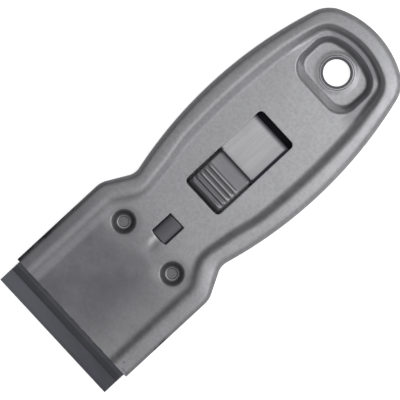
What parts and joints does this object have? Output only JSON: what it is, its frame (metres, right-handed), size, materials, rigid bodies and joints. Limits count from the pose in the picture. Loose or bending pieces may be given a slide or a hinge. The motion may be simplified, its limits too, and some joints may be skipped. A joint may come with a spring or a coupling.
{
  "type": "ceramic hob scraper",
  "caption": "Flat pressed-steel scraper with a retractable single-edge blade, thumb slide with latch window and a hanging hole.",
  "frame": {"origin": "centre of the footprint of the tool lying on its back, blade out, on the back face", "axes": "+X across the tool, +Y from the blade towards the hanging hole, +Z out of the front face"},
  "size_m": [0.0396, 0.1098, 0.0079],
  "materials": {
    "shell_steel": "satin, fine grain across the tool",
    "rivet_steel": "satin",
    "eyelet_steel": "satin, rolled edge",
    "carrier_steel": "satin",
    "clamp_steel": "dark oiled",
    "blade_steel": "dark ground steel",
    "spine_metal": "folded strip",
    "spring_steel": "bright, grain along the strip",
    "button_steel": "satin, ribbed"
  },
  "bodies": {
    "casing": {"front_shell": "shell_steel", "back_shell": "shell_steel", "left_rivet": "rivet_steel", "right_rivet": "rivet_steel", "hang_eyelet": "eyelet_steel"},
    "carriage": {"slide_plate": "carrier_steel", "blade_clamp": "clamp_steel", "left_clamp_rivet": "rivet_steel", "right_clamp_rivet": "rivet_steel", "blade": "blade_steel", "blade_spine": "spine_metal", "latch_spring": "spring_steel", "left_spring_rivet": "rivet_steel", "right_spring_rivet": "rivet_steel"},
    "latch": {"thumb_button": "button_steel"}
  },
  "joints": [
    {"name": "blade_slide", "type": "slide", "parent": "casing", "child": "carriage", "axis": [0, 1, 0], "range_m": [0, 0.0114]},
    {"name": "button_press", "type": "slide", "parent": "carriage", "child": "latch", "axis": [0, 0, -1], "range_m": [0, 0.0008], "stiffness_N_per_m": 600, "deforming": ["latch_spring"]}
  ]
}
